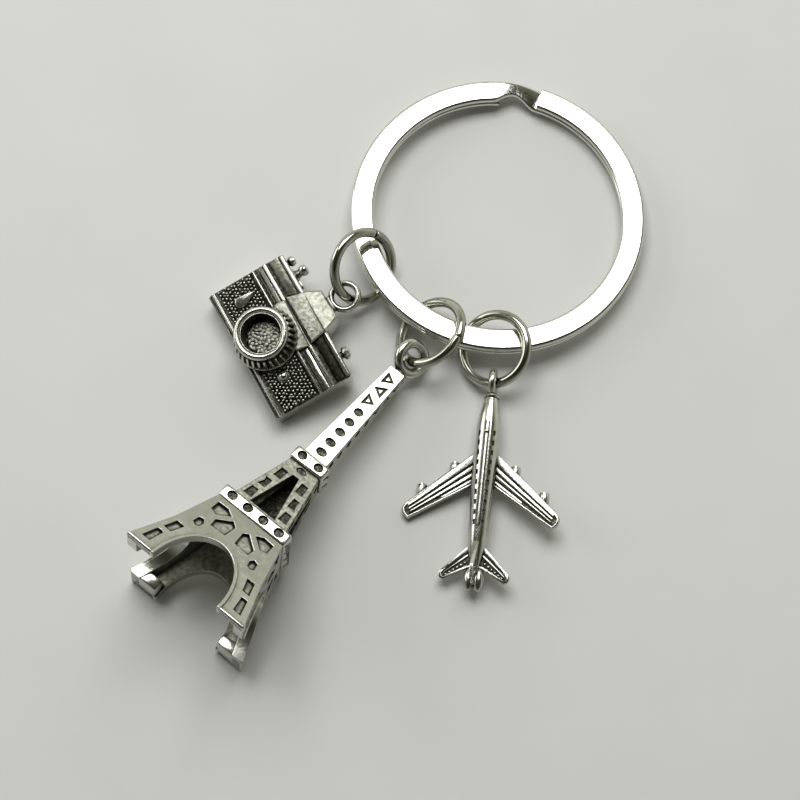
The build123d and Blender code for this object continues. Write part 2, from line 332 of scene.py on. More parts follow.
def hoop(radius, tube, steps, round_steps):
    """A round ring about Z."""
    part = bmesh.new()
    circle = bmesh.ops.create_circle(part, segments=round_steps, radius=tube)["verts"]
    upright = Matrix.Rotation(math.pi / 2, 3, "X")
    bmesh.ops.rotate(part, cent=(0, 0, 0), matrix=upright, verts=circle)
    bmesh.ops.translate(part, vec=(radius, 0, 0), verts=circle)
    revolve(part, part.verts[:] + part.edges[:], steps)
    return part


def to_object(name, bm, materials):
    mesh = bpy.data.meshes.new(name)
    bm.to_mesh(mesh)
    bm.free()
    for material in materials:
        mesh.materials.append(material)
    made = bpy.data.objects.new(name, mesh)
    bpy.context.scene.collection.objects.link(made)
    return made


def carved(bm, cutter):
    """Cut the cutter out of the casting. What it leaves keeps the cutter's finish."""
    face_out(bm)
    face_out(cutter)
    work, tool = to_object("work", bm, CHARM), to_object("tool", cutter, CHARM)
    cut = work.modifiers.new("cut", "BOOLEAN")
    cut.object, cut.operation, cut.solver = tool, "DIFFERENCE", "EXACT"
    cut.use_self = True
    cut.material_mode = "INDEX"
    graph = bpy.context.evaluated_depsgraph_get()
    mesh = bpy.data.meshes.new_from_object(work.evaluated_get(graph))
    result = bmesh.new()
    result.from_mesh(mesh)
    for spent in (work, tool):
        data = spent.data
        bpy.data.objects.remove(spent)
        bpy.data.meshes.remove(data)
    bpy.data.meshes.remove(mesh)
    bmesh.ops.remove_doubles(result, verts=result.verts, dist=WELD)
    return result


def fit(name, bm, place, node, materials, round_off=0.0, crisp=38):
    """Lay a finished part in its place, and hang it on the body of the CAD part it stands for."""
    face_out(bm)
    bm.transform(place)
    made = to_object(name, bm, materials)
    made.data.shade_smooth()
    made.data.set_sharp_from_angle(angle=math.radians(crisp))
    if round_off:
        edge = made.modifiers.new("worn edge", "BEVEL")
        edge.width, edge.segments, edge.limit_method = round_off * MM, 2, "ANGLE"
        edge.angle_limit = math.radians(30)
        edge.use_clamp_overlap = False
        edge.harden_normals = True
    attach(made, node)
    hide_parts(node)
    return made


# ---------------------------------------------------------------- key ring and jump rings

KEY_OUTER_R, KEY_BORE_R = 15.0, 12.65
TURN_THICKNESS, TURN_GAP, KEY_ROUND = 0.72, 0.06, 0.33
STEP_START, STEP_END, UPPER_END, LOWER_END = 92.0, 72.0, 71.0, 88.5
STEP_LATENESS, STEP_WAIST = 1.9, 0.62
JUMP_R, WIRE_R, CUT = 3.5, 0.5, 0.15
SPRUNG = 50.0  # degrees of wire on each side of the cut that bend apart


def drop_inner_walls(part):
    """Take out the faces left across the inside where one stretch was drawn on from another."""
    inner = [face for face in part.faces if all(len(e.link_faces) > 2 for e in face.edges)]
    bmesh.ops.delete(part, geom=inner, context="FACES_ONLY")


def coil_on(part, geom, degrees, steps):
    """Wind the open end of the wire further round, and hand back its new end."""
    return bmesh.ops.spin(part, geom=geom, cent=(0, 0, 0), axis=(0, 0, 1), dvec=(0, 0, 0),
                          angle=math.radians(degrees), steps=steps, use_merge=False,
                          use_duplicate=False)["geom_last"]


def split_ring():
    """Flat wire wound twice, with the step where the upper turn dives under its own end."""
    part = bmesh.new()
    level = (TURN_THICKNESS + TURN_GAP) / 2
    half = TURN_THICKNESS / 2
    corners = [(KEY_BORE_R, -half), (KEY_OUTER_R, -half), (KEY_OUTER_R, half), (KEY_BORE_R, half)]
    part.faces.new([part.verts.new((r, 0, z - level)) for r, z in corners])
    bmesh.ops.bevel(part, geom=part.verts[:], offset=KEY_ROUND, offset_type="OFFSET", segments=5,
                    profile=0.5, affect="VERTICES", clamp_overlap=True, material=-1)
    start = Matrix.Rotation(math.radians(LOWER_END), 3, "Z")
    bmesh.ops.rotate(part, cent=(0, 0, 0), matrix=start, verts=part.verts)
    end = part.verts[:] + part.edges[:] + part.faces[:]
    end = coil_on(part, end, 360 - LOWER_END + STEP_END, 140)
    wound = set(part.verts)
    end = coil_on(part, end, STEP_START - STEP_END, 24)
    for vert in set(part.verts) - wound:
        angle = math.degrees(math.atan2(vert.co.y, vert.co.x))
        share = (STEP_START - angle) / (STEP_START - STEP_END)
        share = min(max(share, 0.0), 1.0)
        narrowing = (1 - STEP_WAIST) * math.sin(math.pi * share) ** 2
        radius = math.hypot(vert.co.x, vert.co.y)
        pulled = KEY_OUTER_R - (KEY_OUTER_R - radius) * (1 - narrowing)
        vert.co.x *= pulled / radius
        vert.co.y *= pulled / radius
        vert.co.z += 2 * level * (1 - share ** STEP_LATENESS)
    coil_on(part, end, 360 - STEP_START + UPPER_END, 140)
    drop_inner_walls(part)
    return part


def cut_ring(spread):
    """Round wire bent to a circle with a saw cut facing +X, its ends burred and a little apart."""
    part = bmesh.new()
    half_cut = math.degrees(CUT / JUMP_R) / 2
    bmesh.ops.create_circle(part, segments=24, radius=WIRE_R, cap_ends=True,
                            matrix=Matrix.Translation((JUMP_R, 0, 0))
                            @ Matrix.Rotation(math.pi / 2, 4, "X"))
    turn = Matrix.Rotation(math.radians(half_cut), 3, "Z")
    bmesh.ops.rotate(part, cent=(0, 0, 0), matrix=turn, verts=part.verts)
    geom = part.verts[:] + part.edges[:] + part.faces[:]
    coil_on(part, geom, 360 - 2 * half_cut, 110)
    caps = [face for face in part.faces if len(face.verts) > 4]
    soften(part, {edge for face in caps for edge in face.edges}, 0.06, 2)
    for vert in part.verts:
        angle = math.degrees(math.atan2(vert.co.y, vert.co.x)) % 360
        for share in ((angle - 360 + SPRUNG) / SPRUNG, (SPRUNG - angle) / SPRUNG):
            if share > 0:
                side = 1 if angle > 180 else -1
                vert.co.z += side * spread / 2 * share * share
    return part


fit("key_ring_wire", split_ring(), leaning(KEY_CENTRE, KEY_LEAN, KEY_TOWARD), "key_ring", NICKEL,
    crisp=50)
# the jump rings take the darker nickel copy, whose darker colour is painted shade
for node, lie in JUMP_RINGS.items():
    fit(node + "_wire", cut_ring(END_SPREAD[node]), leaning(**lie), node, SHADED_NICKEL, crisp=50)


# ---------------------------------------------------------------- camera charm
# Its own frame: X to the right, Y to the top plate, Z out of the front; the middle of the body
# is the origin, and the eye is above the hump.

CAMERA_EYE = (-0.45, 7.6)
HALF_W, HALF_H, FRONT, GROUND = 7.3, 4.3, 1.2, 0.93
BODY_ROUND = 0.35
LENS = (-0.35, -1.36)
LEATHER = (-3.3, 0.62)
# raised bands across the front: lower edge, upper edge, height of their face, finish
BANDS = ((-4.3, -4.04, 1.1, SILVER), (-3.94, -3.6, 1.2, SILVER), (0.66, 0.92, 1.2, SILVER),
         (1.12, 1.3, 1.05, DULL), (1.46, 1.86, 1.14, SILVER), (1.96, 2.36, 1.2, SILVER),
         (2.58, 3.78, 1.04, DULL), (3.84, 4.3, 1.2, SILVER))
LEVER_AT, LEVER_R, BUTTON_AT, KNOB_FOOT = (-5.0, -1.7), 0.6, (3.87, -1.61), 4.2
# between leatherette grains, between their rows as a share of that, and how far each one strays
GRAIN_PITCH, ROW_SHARE, STRAY = 0.39, 0.88, 0.07
GRIP_RIBS, FLOOR_LUMPS, GOLDEN_TURN = 30, 60, 2.399963


def camera_body():
    """The block with its blackened front, the raised bands across it and a sunk back panel."""
    bm = bmesh.new()
    bmesh.ops.create_cube(bm, size=1, matrix=Matrix.Translation((0, 0, (GROUND - FRONT) / 2))
                          @ Matrix.Diagonal((2 * HALF_W, 2 * HALF_H, GROUND + FRONT, 1)))
    upright = [e for e in bm.edges if abs(e.verts[0].co.z - e.verts[1].co.z) > 1]
    soften(bm, upright, BODY_ROUND, 4)
    back = min(bm.faces, key=lambda f: f.calc_center_median().z)
    bmesh.ops.inset_region(bm, faces=[back], thickness=0.45)
    bmesh.ops.inset_region(bm, faces=[back], thickness=0.08, depth=-0.22)
    back.material_index = BLACKED
    front = max(bm.faces, key=lambda f: f.calc_center_median().z)
    front.material_index = BLACKED
    for low, high, face, finish_index in BANDS:
        part = bmesh.new()
        inset = BODY_ROUND * 0.4 if max(abs(low), abs(high)) > 4.2 else 0.02
        block(part, (-HALF_W + inset, low, GROUND - 0.2), (HALF_W - inset, high, face))
        long_edges = [e for e in part.edges
                      if min(v.co.z for v in e.verts) > GROUND]
        soften(part, long_edges, min(0.1, (high - low) * 0.3), 3)
        join(bm, part, finish_index)
    return bm


def camera_leather():
    """Pebbled leatherette: hundreds of small rubbed-bright grains on a black ground."""
    bm = bmesh.new()
    block(bm, (-HALF_W + 0.1, LEATHER[0], GROUND - 0.2), (HALF_W - 0.1, LEATHER[1], GROUND + 0.03),
          finish_index=BLACKED)
    rows = int((LEATHER[1] - LEATHER[0] - 0.2) / (GRAIN_PITCH * ROW_SHARE))
    columns = int((2 * HALF_W - 0.4) / GRAIN_PITCH)
    clear_of = ((LENS, 3.0), (BUTTON_AT, 0.6), (LEVER_AT, 0.65))
    for row in range(rows + 1):
        for column in range(columns + 1):
            x = -HALF_W + 0.25 + (column + 0.5 * (row % 2)) * GRAIN_PITCH
            x += GRAIN.uniform(-STRAY, STRAY)
            y = LEATHER[0] + 0.14 + row * GRAIN_PITCH * ROW_SHARE + GRAIN.uniform(-STRAY, STRAY)
            if x > HALF_W - 0.2 or y > LEATHER[1] - 0.08:
                continue
            if any(math.dist((x, y), middle) < reach for middle, reach in clear_of):
                continue
            place = (Matrix.Translation((x, y, GROUND + 0.06))
                     @ Matrix.Rotation(GRAIN.uniform(0, math.pi), 4, "Z")
                     @ Matrix.Diagonal((GRAIN.uniform(0.16, 0.23), GRAIN.uniform(0.12, 0.17),
                                        GRAIN.uniform(0.1, 0.15), 1)))
            bmesh.ops.create_icosphere(bm, subdivisions=1, radius=1, matrix=place)
    return bm


def camera_lens():
    """Stepped barrel with a knurled grip, a rolled lip, a deep bore and a rough cast floor."""
    bm = bmesh.new()
    at = Matrix.Translation((*LENS, 0))
    plate = [(-2.99, 1.3), (-2.93, 2.22), (2.57, 2.1), (2.4, 0.82), (1.6, -0.2), (-2.2, 0.0)]
    join(bm, prism(plate, 0.7, 1.42, 0.1), DULL)
    profile = [(0.0, 0.8), (3.25, 0.8), (3.25, 1.34), (3.18, 1.46), (3.0, 1.5), (2.86, 1.6),
               (2.5, 3.12), (2.6, 3.2), (2.72, 3.34), (2.76, 3.52), (2.73, 3.74), (2.62, 3.9),
               (2.45, 3.96), (2.28, 3.92), (2.17, 3.82), (2.1, 3.7)]
    barrel = turned(profile + [(0.0, 3.7)], 96, at)
    join(bm, barrel, SILVER)
    cutter = bmesh.new()
    cut = bmesh.ops.create_cone(cutter, cap_ends=True, segments=64, radius1=1.78, radius2=2.08,
                                depth=2.0, matrix=at @ Matrix.Translation((0, 0, 3.0)))
    paint(cut["verts"], BLACKED)
    bm = carved(bm, cutter)
    for number in range(GRIP_RIBS):
        angle = math.tau * number / GRIP_RIBS
        part = bmesh.new()
        block(part, (2.35, -0.16, 1.56), (3.24, 0.16, 3.12))
        for vert in part.verts:
            if vert.co.z > 2:
                vert.co.x -= 0.36
        soften(part, [e for e in part.edges if min(v.co.x for v in e.verts) > 2.7], 0.08, 1)
        join(bm, part, SILVER, at @ Matrix.Rotation(angle, 4, "Z"))
    for number in range(FLOOR_LUMPS):
        reach = 1.7 * math.sqrt((number + 0.5) / FLOOR_LUMPS)
        angle = number * GOLDEN_TURN
        place = (at @ Matrix.Translation((reach * math.cos(angle), reach * math.sin(angle), 2.0))
                 @ Matrix.Rotation(GRAIN.uniform(0, math.tau), 4, "Z")
                 @ Matrix.Diagonal((GRAIN.uniform(0.3, 0.5), GRAIN.uniform(0.22, 0.36),
                                    GRAIN.uniform(0.06, 0.13), 1)))
        lump = bmesh.ops.create_icosphere(bm, subdivisions=2, radius=1, matrix=place)
        paint(lump["verts"], DULL)
    return bm


def camera_hump():
    """The prism housing: two facets that lean back to a bevelled top, and sloping shoulders."""
    outline = [(-3.0, 2.5), (2.45, 2.45), (2.1, 4.2), (1.35, 5.92), (-1.9, 5.92), (-2.55, 4.3)]
    part = prism(outline, -FRONT, 1.6)
    bmesh.ops.bisect_plane(part, geom=part.verts[:] + part.edges[:] + part.faces[:],
                           plane_co=(0, 4.25, 0), plane_no=(0, 1, 0))
    for vert in part.verts:
        if vert.co.z > 1 and vert.co.y > 4.4:
            vert.co.z -= 0.42
    rim = [e for e in part.edges if min(v.co.z for v in e.verts) > 1
           and abs(e.calc_face_angle(0)) > math.radians(40)]
    soften(part, rim, 0.2, 1)
    for face in part.faces:
        middle = face.calc_center_median()
        if middle.z > 0.9 and face.normal.z > 0.9:
            face.material_index = DULL
    return part


def knob(bm, x, profile, lean=0.0):
    """A small turned knob that stands on the top plate."""
    upright = Matrix.Rotation(math.radians(-90 + lean), 4, "X")
    join(bm, turned(profile, 24, Matrix.Translation((x, KNOB_FOOT, -0.1)) @ upright), SILVER)


def camera_controls():
    """Rewind lever, shutter button and winder on the top; timer lever and button on the front."""
    bm = bmesh.new()
    knob(bm, -6.5, [(0, -0.2), (0.36, -0.2), (0.3, 0.14), (0.48, 0.32), (0.54, 0.56), (0.4, 0.86),
                    (0.0, 0.96)])
    knob(bm, -4.95, [(0, -0.2), (0.72, -0.2), (0.72, 0.24), (0.46, 0.34), (0.4, 0.7), (0.5, 0.88),
                     (0.62, 1.16), (0.5, 1.5), (0.0, 1.64)], 12)
    knob(bm, 4.65, [(0, -0.2), (0.5, -0.2), (0.36, 0.08), (0.36, 0.3), (0.64, 0.42), (0.72, 0.66),
                    (0.54, 1.0), (0.0, 1.14)])
    block(bm, (-4.2, 4.1, -0.45), (-3.4, 4.52, 0.45), 0.1)
    join(bm, turned([(0, 0.7), (0.62, 0.7), (0.62, 1.02), (0.5, 1.1), (0.48, 1.3), (0.34, 1.48),
                     (0.0, 1.56)], 32, Matrix.Translation((*BUTTON_AT, 0))), SILVER)
    drop = bmesh.new()
    bmesh.ops.create_circle(drop, cap_ends=True, segments=32, radius=LEVER_R)
    pull(drop, drop.faces[:], (0, 0, 0.5))
    for vert in drop.verts:
        if vert.co.y > 0:
            share = vert.co.y / LEVER_R
            vert.co.x = vert.co.x * (1 - 0.25 * share) - 0.3 * share ** 2
            vert.co.y = vert.co.y * (1 + 1.7 * share)
    rim = [e for e in drop.edges if min(v.co.z for v in e.verts) > 0.4]
    face_out(drop)
    soften(drop, rim, 0.12, 2)
    join(bm, drop, SILVER, Matrix.Translation((*LEVER_AT, 0.85)))
    return bm


def camera_eye():
    """The washer-like eye that the jump ring passes through, on its short neck."""
    flat, outer, bore, edge = 0.4, 1.65, 1.08, 0.22
    profile = [(bore, -flat + edge), (bore + edge, -flat), (outer - edge, -flat),
               (outer, -flat + edge), (outer, flat - edge), (outer - edge, flat),
               (bore + edge, flat), (bore, flat - edge), (bore, -flat + edge)]
    bm = turned(profile, 64, Matrix.Translation((*CAMERA_EYE, 0)))
    block(bm, (CAMERA_EYE[0] - 0.8, 5.7, -flat), (CAMERA_EYE[0] + 0.8, 6.2, flat), 0.1)
    return bm


CAMERA = hanging(**CHARM_POSES["camera_charm"])
CAMERA = CAMERA @ Matrix.Translation((-CAMERA_EYE[0], -CAMERA_EYE[1], 0))
fit("camera_body", camera_body(), CAMERA, "camera_charm", CHARM, 0.05)
fit("camera_leatherette", camera_leather(), CAMERA, "camera_charm", CHARM, crisp=180)
fit("camera_lens", camera_lens(), CAMERA, "camera_charm", CHARM, crisp=50)
fit("camera_hump", camera_hump(), CAMERA, "camera_charm", CHARM, 0.06, crisp=20)
fit("camera_controls", camera_controls(), CAMERA, "camera_charm", CHARM, crisp=45)
fit("camera_eye", camera_eye(), CAMERA, "camera_charm", CHARM, crisp=50)


# ---------------------------------------------------------------- tower charm
# Built upright: Z up from the feet, front to -Y. Then it is laid down, its eye at the origin.

BASE, KNEE_Z, KNEE, DECK_1, DECK_1_HALF = 7.0, 4.6, 5.25, 9.15, 4.05
DECK_THICK, DECK_2, DECK_2_HALF = 1.45, 17.25, 2.0
SHIN = DECK_1_HALF - DECK_THICK / 8
UPPER, SPIRE, SPIRE_TOP, EYE_Z = (3.15, 1.7), (1.35, 0.88), 31.5, 33.8
WALL, ARCH = 1.15, (3.8, 5.3)
EYE_R, EYE_TUBE, EYE_TURN = 1.55, 0.53, -47.0
CUT_PAST = 0.5  # how far a cutter stands out of the face that it sinks into
DECK_SUNK, DIMPLE_UP, SLOT_LOW, SLOT_HIGH = 0.3, 0.8, 0.35, 1.15
ALONG_DECK_1 = (-2.85, -0.95, 0.95, 2.85)
# each deck: bottom, half width, where its dimples are and their size, where its slots are and
# how far their near and far corners stand from the middle
DECKS = ((DECK_1, DECK_1_HALF, ALONG_DECK_1, (0.56, 0.48), ALONG_DECK_1, (0.45, 0.1)),
         (DECK_2, DECK_2_HALF, (-1.0, 1.0), (0.54, 0.47), (-0.95, 0.95), (0.4, 0.05)))
SPIRE_OVALS = (19.74, 21.1, 22.56, 23.98, 25.39)
SPIRE_TRIANGLES = ((27.0, 1), (28.6, -1), (30.1, 1))  # height, and the way that each points


def lower_half(z):
    """Half width of the lower legs at a height."""
    if z < KNEE_Z:
        return BASE + (KNEE - BASE) * z / KNEE_Z
    return KNEE + (SHIN - KNEE) * (z - KNEE_Z) / (DECK_1 - KNEE_Z)


def upper_half(z):
    low = DECK_1 + DECK_THICK
    return UPPER[0] + (UPPER[1] - UPPER[0]) * (z - low) / (DECK_2 - low)


def spire_half(z):
    low = DECK_2 + DECK_THICK
    return SPIRE[0] + (SPIRE[1] - SPIRE[0]) * (z - low) / (SPIRE_TOP - low)


def stages(levels, finish_index=SILVER):
    """A square tower of straight stages through (height, half width) levels."""
    part = bmesh.new()
    height, half = levels[0]
    bmesh.ops.create_grid(part, x_segments=1, y_segments=1, size=half,
                          matrix=Matrix.Translation((0, 0, height)))
    face = part.faces[:][0]
    for next_height, next_half in levels[1:]:
        risen = pull(part, [face], (0, 0, next_height - height))
        face = next(item for item in risen if isinstance(item, bmesh.types.BMFace))
        widen = next_half / half
        bmesh.ops.scale(part, vec=(widen, widen, 1), verts=verts_in(risen))
        height, half = next_height, next_half
    drop_inner_walls(part)
    for item in part.faces:
        item.material_index = finish_index
    return part


def quarter(number):
    return Matrix.Rotation(math.radians(90 * number), 4, "Z")


def sunk_panel(cutter, points, half_at, depth, side, finish_index=BLACKED):
    """A cutter that sinks an outline, drawn in X and height, into one side of the tower."""
    part = bmesh.new()
    face = part.faces.new([part.verts.new((x, depth - half_at(z), z)) for x, z in points])
    pull(part, [face], (0, -depth - CUT_PAST, 0))
    join(cutter, part, finish_index, quarter(side))


def sunk_oval(cutter, x, z, wide, tall, half_at, depth, side):
    """A round or oval dimple cutter with a slightly coned wall."""
    place = (quarter(side) @ Matrix.Translation((x, depth - half_at(z) - 1, z))
             @ Matrix.Rotation(math.pi / 2, 4, "X") @ Matrix.Diagonal((wide, tall, 1, 1)))
    part = bmesh.new()
    bmesh.ops.create_cone(part, cap_ends=True, segments=20, radius1=0.8, radius2=1.6, depth=2)
    join(cutter, part, BLACKED, place)


def both_sides(points):
    return [points, [(-x, z) for x, z in reversed(points)]]


LOWER_PANELS = (
    [(5.05, 0.95), (5.9, 0.95), (5.4, 2.5), (4.75, 2.5)],
    [(4.35, 3.05), (5.15, 3.05), (4.7, 4.35), (3.85, 4.35)],
    [(2.95, 5.35), (3.3, 5.2), (3.7, 5.4), (3.55, 6.1), (3.1, 6.2), (2.8, 5.85)],
    [(0.45, 7.6), (0.95, 7.95), (2.35, 6.95), (2.25, 6.2), (0.6, 6.3)],
    [(1.5, 8.25), (2.2, 8.65), (3.35, 8.6), (3.4, 7.6), (2.7, 7.4)],
)
UPPER_PANELS = (
    [(1.65, 11.3), (2.6, 11.3), (2.4, 12.35), (1.7, 12.35)],
    [(1.45, 12.95), (2.25, 12.95), (1.95, 13.6), (2.05, 14.0), (1.4, 14.0)],
    [(0.95, 14.65), (1.75, 14.65), (1.6, 15.8), (0.9, 15.8)],
)


def tower_lower_legs():
    """Four splayed legs joined by round arches, hollow and half rubbed inside, with sunk panels."""
    bm = stages(((0, BASE), (KNEE_Z, KNEE), (DECK_1 + 0.3, lower_half(DECK_1))))
    slope = (BASE - KNEE) / KNEE_Z
    hollow = stages(((-WALL, BASE + slope * WALL - WALL), (KNEE_Z, KNEE - WALL),
                     (DECK_1 + 0.5, lower_half(DECK_1) - WALL)), DULL)
    bm = carved(bm, hollow)
    for number in range(2):
        arch = bmesh.new()
        bmesh.ops.create_cone(arch, cap_ends=True, segments=72, radius1=1, radius2=1,
                              depth=4 * BASE, matrix=quarter(number)
                              @ Matrix.Rotation(math.pi / 2, 4, "X")
                              @ Matrix.Diagonal((ARCH[0], ARCH[1], 1, 1)))
        bm = carved(bm, arch)
    cutter = bmesh.new()
    for side in range(4):
        for points in LOWER_PANELS:
            for outline in both_sides(points):
                sunk_panel(cutter, outline, lower_half, 0.28, side, DULL)
    return carved(bm, cutter)


def tower_arch_trim():
    """The raised moulding round each arch, draped on the sloping face."""
    bm = bmesh.new()
    for side in range(4):
        part = bmesh.new()
        bmesh.ops.create_circle(part, segments=80, radius=1,
                                matrix=Matrix.Rotation(math.pi / 2, 4, "X"))
        bmesh.ops.bisect_plane(part, geom=part.verts[:] + part.edges[:], plane_co=(0, 0, 0.02),
                               plane_no=(0, 0, -1), clear_outer=True)
        bmesh.ops.scale(part, vec=(ARCH[0] + 0.02, 1, ARCH[1] + 0.02), verts=part.verts)
        outer = bmesh.ops.extrude_edge_only(part, edges=part.edges[:])["geom"]
        bmesh.ops.scale(part, vec=(1.09, 1, 1.065), verts=verts_in(outer))
        pull(part, part.faces[:], (0, -0.45, 0))
        for vert in part.verts:
            vert.co.y += 0.25 - lower_half(vert.co.z)
        face_out(part)
        join(bm, part, SILVER, quarter(side))
    return bm


def tower_feet():
    """A rounded bar across each leg's end, and a solid pad inside each back leg."""
    bm = bmesh.new()
    for number, near, far in ((0, 4.0, -5.9), (1, 4.0, -4.0), (2, 4.0, -4.0), (3, 5.9, -4.0)):
        part = bmesh.new()
        block(part, (near, -7.04, 0.0), (7.04, far, 0.38), 0.17, segments=3)
        if number in (1, 2):
            block(part, (3.9, -6.5, 0.05), (6.5, -3.9, 1.22), 0.16)
        join(bm, part, SILVER, quarter(number))
    return bm


def tower_decks():
    """Two thick square decks: round dimples on the front and back, slanted slots on the sides."""
    bm = bmesh.new()
    block(bm, (-DECK_1_HALF, -DECK_1_HALF, DECK_1),
          (DECK_1_HALF, DECK_1_HALF, DECK_1 + DECK_THICK), 0.26, segments=3)
    inner = lower_half(DECK_1) - WALL
    top = UPPER[0] - WALL
    bm = carved(bm, stages(((DECK_1 - 0.5, inner + 0.1), (DECK_1 + DECK_THICK + 0.5, top)),
                           BLACKED))
    block(bm, (-DECK_2_HALF, -DECK_2_HALF, DECK_2),
          (DECK_2_HALF, DECK_2_HALF, DECK_2 + DECK_THICK), 0.26, segments=3)
    cutter = bmesh.new()
    for side in (0, 2):
        for bottom, half, dimples, size, _, _ in DECKS:
            for x in dimples:
                sunk_oval(cutter, x, bottom + DIMPLE_UP, *size, lambda z: half, DECK_SUNK, side)
    for side in (1, 3):
        for bottom, half, _, _, slots, (far, near) in DECKS:
            for x in slots:
                slot = [(x - far, bottom + SLOT_LOW), (x - near, bottom + SLOT_LOW),
                        (x + far, bottom + SLOT_HIGH), (x + near, bottom + SLOT_HIGH)]
                sunk_panel(cutter, slot, lambda z: half, DECK_SUNK, side)
    return carved(bm, cutter)


def tower_upper_legs():
    """The middle stage: a tall tapered opening, only sunk at the back with a painted-shadow black
    floor, and panels beside it.
    """
    low = DECK_1 + DECK_THICK
    bm = stages(((low - 0.2, upper_half(low - 0.2)), (DECK_2 + 0.2, UPPER[1])), DULL)
    hollow = stages(((low - 0.5, UPPER[0] - WALL), (DECK_2 - 0.2, UPPER[1] - WALL)), BLACKED)
    bm = carved(bm, hollow)
    opening = [(-1.5, 10.95), (1.5, 10.95), (0.35, 15.9), (-0.35, 15.9)]
    for side in (0, 1, 3):
        window = bmesh.new()
        sunk_panel(window, opening, lambda z: 4.0, 2 * WALL + 1, side)
        bm = carved(bm, window)
    cutter = bmesh.new()
    for side in range(4):
        sunk_oval(cutter, 0, 16.74, 0.6, 0.36, upper_half, 0.22, side)
        for points in UPPER_PANELS:
            for outline in both_sides(points):
                sunk_panel(cutter, outline, upper_half, 0.26, side)
    # the back opening is left blind and its floor blackened: painted shadow for the shaded table
    # that would show through
    sunk_panel(cutter, opening, upper_half, 0.4, 2)
    return carved(bm, cutter)


def tower_spire():
    """The tall top stage: five oval dimples and a zigzag of three sunk triangles on each side."""
    low = DECK_2 + DECK_THICK
    bm = stages(((low - 0.2, spire_half(low - 0.2)), (SPIRE_TOP, SPIRE[1])))
    cutter = bmesh.new()
    for side in range(4):
        for z in SPIRE_OVALS:
            sunk_oval(cutter, 0, z, 0.48 * spire_half(z), 0.44, spire_half, 0.25, side)
        for z, point in SPIRE_TRIANGLES:
            outline = [(-0.52 * point, z - 0.66), (0.58 * point, z), (-0.52 * point, z + 0.66)]
            if point < 0:
                outline.reverse()
            sunk_panel(cutter, outline, spire_half, 0.22, side)
    bm = carved(bm, cutter)
    for side in range(4):
        for z, point in SPIRE_TRIANGLES:
            outline = [(-0.3 * point, z - 0.3), (0.22 * point, z), (-0.3 * point, z + 0.3)]
            island = bmesh.new()
            face = island.faces.new([island.verts.new((x, 0.4 - spire_half(z), height))
                                     for x, height in outline])
            pull(island, [face], (0, -0.34, 0))
            face_out(island)
            join(bm, island, SILVER, quarter(side))
    return bm


def tower_eye():
    """The round cast eye on a tapered neck, turned across the corner of the tower."""
    bm = bmesh.new()
    turn = (Matrix.Translation((0, 0, EYE_Z)) @ Matrix.Rotation(math.radians(EYE_TURN), 4, "Z")
            @ Matrix.Rotation(math.pi / 2, 4, "Y"))
    join(bm, hoop(EYE_R, EYE_TUBE, 64, 20), SILVER, turn)
    neck = turned([(0, SPIRE_TOP - 0.3), (0.85, SPIRE_TOP - 0.3), (0.82, SPIRE_TOP),
                   (0.62, SPIRE_TOP + 0.2), (0.5, SPIRE_TOP + 0.5), (0.0, SPIRE_TOP + 0.7)], 24)
    join(bm, neck, SILVER)
    return bm


TOWER = (hanging(**CHARM_POSES["tower_charm"]) @ Matrix.Rotation(-math.pi / 2, 4, "X")
         @ Matrix.Translation((0, 0, -EYE_Z)))
fit("tower_lower_legs", tower_lower_legs(), TOWER, "tower_charm", CHARM, 0.07, crisp=30)
fit("tower_arch_trim", tower_arch_trim(), TOWER, "tower_charm", CHARM, 0.07)
fit("tower_feet", tower_feet(), TOWER, "tower_charm", CHARM)
fit("tower_decks", tower_decks(), TOWER, "tower_charm", CHARM, 0.05, crisp=30)
fit("tower_upper_legs", tower_upper_legs(), TOWER, "tower_charm", CHARM, 0.06, crisp=30)
fit("tower_spire", tower_spire(), TOWER, "tower_charm", CHARM, 0.07, crisp=30)
fit("tower_eye", tower_eye(), TOWER, "tower_charm", CHARM, crisp=60)


# ---------------------------------------------------------------- airliner charm
# Its own frame: Y to the nose, Z up, the middle of its eye at the origin.

HULL = ((-1.0, 0.5), (-1.6, 0.66), (-2.5, 0.88), (-3.5, 1.08), (-4.5, 1.18), (-6.0, 1.2),
        (-10.0, 1.16), (-15.1, 1.03), (-16.8, 0.88), (-18.0, 0.68), (-18.7, 0.5), (-20.3, 0.44))
WING = ((0.0, -6.2), (7.5, -12.8), (7.8, -13.3), (7.65, -13.9), (7.1, -14.4), (0.9, -10.4),
        (0.0, -10.4))
TAILPLANE = ((0.0, -15.9), (3.35, -19.2), (3.5, -19.6), (3.35, -20.0), (2.95, -20.2),
             (0.9, -18.9), (0.0, -18.6))
LEAD, TRAIL = ((0.9, -7.1), (7.4, -12.85)), ((0.9, -10.3), (7.1, -14.25))
TAIL_LEAD, TAIL_TRAIL = ((0.7, -16.6), (3.25, -19.2)), ((0.7, -18.75), (2.95, -20.1))
LOBE_SIZE, LOBE = (0.56, 1.2, 0.5), (0.46, -19.87, -0.02)
# cabin windows: how many, where they start, their pitch, and how they close in towards the tail
WINDOWS, FIRST_WINDOW, WINDOW_PITCH, WINDOW_ANGLE, WINDOW_CLOSING = 10, -5.4, 1.0, 38, 1.6
# ribs along a wing: share of the chord where each starts and ends, and how far out it runs
WING_RIBS = ((0.0, 0.32, 0.98), (0.38, 0.56, 0.98), (0.62, 0.78, 0.97), (0.83, 0.96, 0.5))
TAIL_RIBS = ((0.0, 0.28, 0.98), (0.4, 0.54, 0.95))


def between(a, b, share):
    return tuple(p + (q - p) * share for p, q in zip(a, b))


def rib(lead, trail, start, end, reach):
    """A tapered rib between two shares of the chord."""
    return [between(lead[0], trail[0], start),
            between(lead[0], trail[0], end),
            between(between(lead[0], trail[0], end), between(lead[1], trail[1], end), reach),
            between(between(lead[0], trail[0], start), between(lead[1], trail[1], start), reach)]


